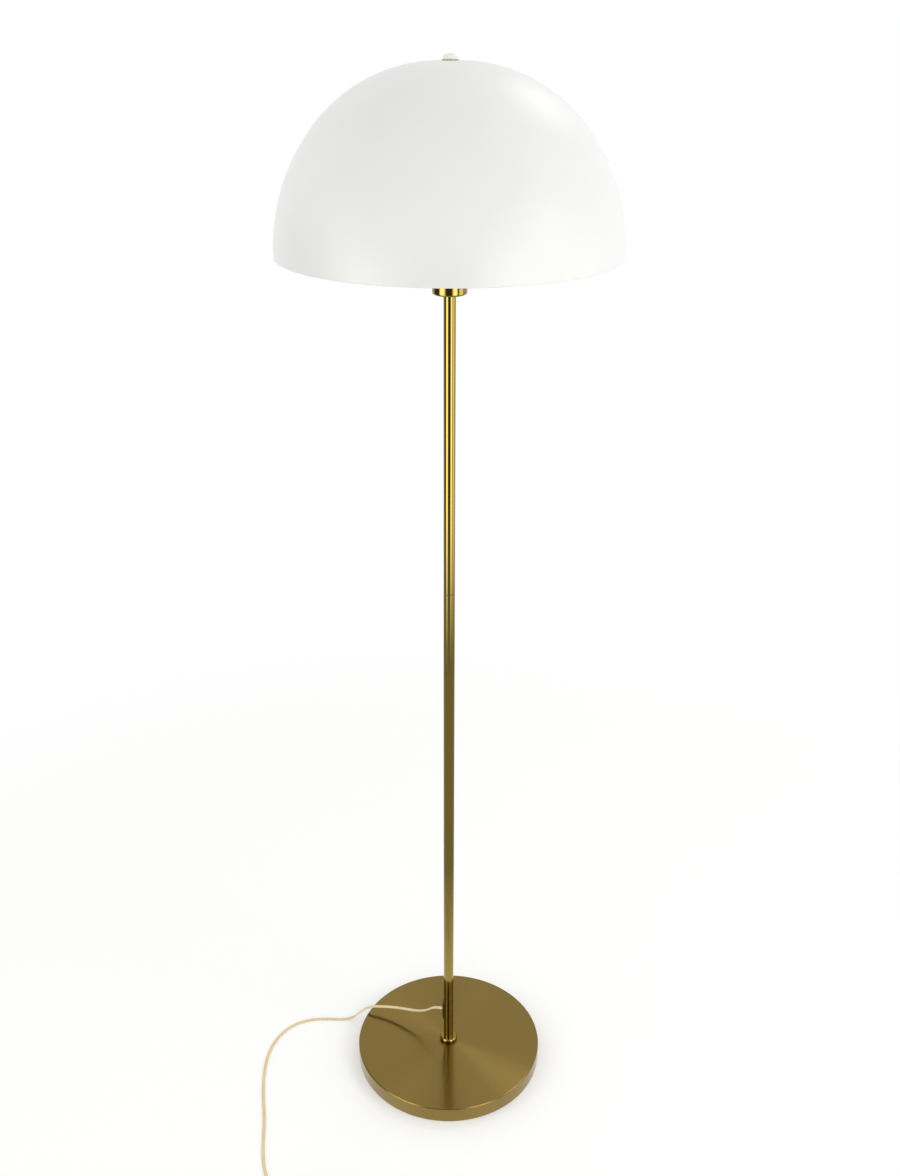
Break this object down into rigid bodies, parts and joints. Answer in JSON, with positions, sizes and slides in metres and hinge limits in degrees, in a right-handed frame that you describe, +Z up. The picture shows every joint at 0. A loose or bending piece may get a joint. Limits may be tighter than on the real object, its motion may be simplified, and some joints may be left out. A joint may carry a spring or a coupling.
{
  "type": "mushroom floor lamp",
  "caption": "Floor lamp with an opal dome shade on a slim brass stem and a heavy round brass foot, with a foot switch and a plug on its flex.",
  "frame": {"origin": "middle of the round foot, on the floor", "axes": "+Z up along the stem; +X to the right and -Y towards the viewer in the picture, so the cord leaves towards -X and a little +Y"},
  "size_m": [0.5237, 0.6, 1.5435],
  "materials": {
    "polished_brass": "mirror polished, lacquered",
    "spun_brass": "satin, spun in rings, lacquered",
    "raw_brass": "turned, unpolished",
    "zinc_steel": "zinc plated",
    "black_iron": "cast, black primer",
    "opal_acrylic": "opal, glossy",
    "white_nylon": "moulded, glossy",
    "white_pvc": "moulded, satin",
    "white_thermoset": "moulded, heat proof",
    "black_rubber": "moulded, matt",
    "clear_flex": "clear PVC over gold coloured cores",
    "copper_core": "tinned ends",
    "nickel_sheet": "nickel plated, pressed",
    "opal_glass": "opal, smooth",
    "black_glass": "fused insulator",
    "charcoal_felt": "pressed felt, charcoal"
  },
  "bodies": {
    "root": {"felt_pad": "charcoal_felt", "bottom_plate": "zinc_steel", "plate_screws": "zinc_steel", "base_weight": "black_iron", "base_cover": "spun_brass", "foot_nipple": "zinc_steel", "foot_washer": "zinc_steel", "foot_lock_washer": "zinc_steel", "foot_nut": "zinc_steel", "foot_collar": "polished_brass", "lower_tube": "polished_brass", "upper_tube": "polished_brass", "foot_bush": "raw_brass", "lower_joint_bush": "raw_brass", "upper_joint_bush": "raw_brass", "head_bush": "raw_brass", "joint_nipple": "zinc_steel", "head_nipple": "zinc_steel", "cord_grommet": "black_rubber", "stem_cable": "clear_flex", "cable_cores": "copper_core", "holder_cup": "polished_brass", "cup_lock_washer": "zinc_steel", "cup_nut": "zinc_steel", "holder_cap": "white_thermoset", "holder_insert": "white_thermoset", "terminal_screws": "raw_brass", "holder_sleeve": "white_thermoset", "screw_shell": "nickel_sheet", "centre_contact": "raw_brass", "carrier_ring": "zinc_steel", "holder_ring": "white_thermoset", "carrier_rods": "zinc_steel", "carrier_disc": "zinc_steel", "shade_stud": "zinc_steel", "stud_nut": "zinc_steel", "soft_washer": "black_rubber", "cord": "clear_flex", "cord_link": "clear_flex", "cord_coil": "clear_flex", "cord_tail": "clear_flex", "cord_tie": "white_pvc", "switch_base": "white_pvc", "switch_cover": "white_pvc", "switch_spring": "nickel_sheet", "switch_contacts": "raw_brass", "switch_screws": "zinc_steel", "plug_body": "white_pvc", "plug_boot": "white_pvc", "plug_pins": "nickel_sheet", "pin_sleeves": "black_rubber"},
    "shade": {"shade": "opal_acrylic", "finial_washer": "polished_brass"},
    "knob": {"knob_insert": "raw_brass", "knob": "white_nylon"},
    "bulb_carriage": {"bulb_contact": "nickel_sheet"},
    "bulb": {"bulb_insulator": "black_glass", "bulb_cap": "nickel_sheet", "bulb_glass": "opal_glass"},
    "button": {"switch_button": "white_pvc"}
  },
  "joints": [
    {"name": "shade_lift", "type": "slide", "parent": "root", "child": "shade", "axis": [0, 0, 1], "range_m": [0, 0.24]},
    {"name": "knob_turn", "type": "hinge", "parent": "shade", "child": "knob", "pos_m": [0, 0, 1.54], "axis": [0, 0, 1], "range_deg": [0, 1440]},
    {"name": "bulb_carriage_lift", "type": "slide", "parent": "root", "child": "bulb_carriage", "axis": [0, 0, 1], "range_m": [0, 0.0146]},
    {"name": "bulb_turn", "type": "hinge", "parent": "bulb_carriage", "child": "bulb", "pos_m": [0, 0, 1.36], "axis": [0, 0, 1], "range_deg": [0, 1440]},
    {"name": "button_press", "type": "slide", "parent": "root", "child": "button", "axis": [0, 0, -1], "range_m": [0, 0.003], "stiffness_N_per_m": 400, "springref_m": -0.003, "deforming": ["switch_spring"]}
  ],
  "couplings": [
    {"joint": "bulb_carriage_lift", "follows": "bulb_turn", "m_per_rad": 0.00057757}
  ]
}
